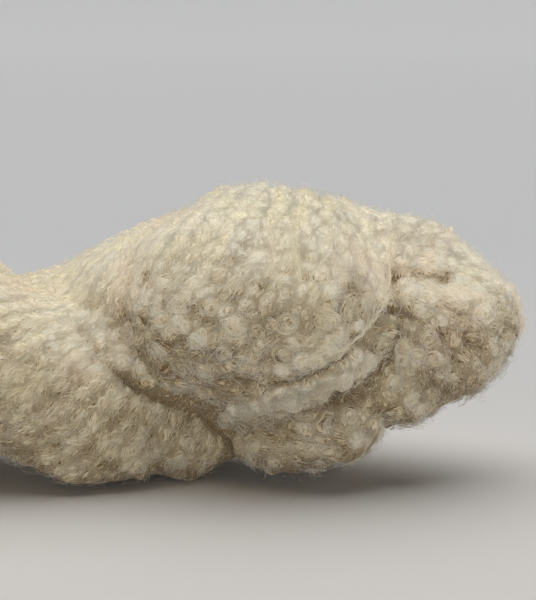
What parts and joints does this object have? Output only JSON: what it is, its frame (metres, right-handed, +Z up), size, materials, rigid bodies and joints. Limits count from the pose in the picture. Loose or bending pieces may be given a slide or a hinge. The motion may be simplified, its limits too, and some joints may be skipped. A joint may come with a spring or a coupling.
{
  "type": "twisted skein of boucle yarn",
  "caption": "Soft hank of cream boucle yarn, twisted on itself into a rope, one end tucked through a loop at the other, lying on a surface.",
  "frame": {"origin": "middle of the skein's box, on the surface that it lies on", "axes": "+X along the skein from its fold to its tucked end, +Y to its back, +Z up"},
  "size_m": [0.28, 0.0878, 0.0811],
  "materials": {
    "yarn": "matt cream mohair boucle with curled loops and a soft halo of fibres"
  },
  "bodies": {
    "root": {"skein": "yarn"}
  },
  "joints": []
}
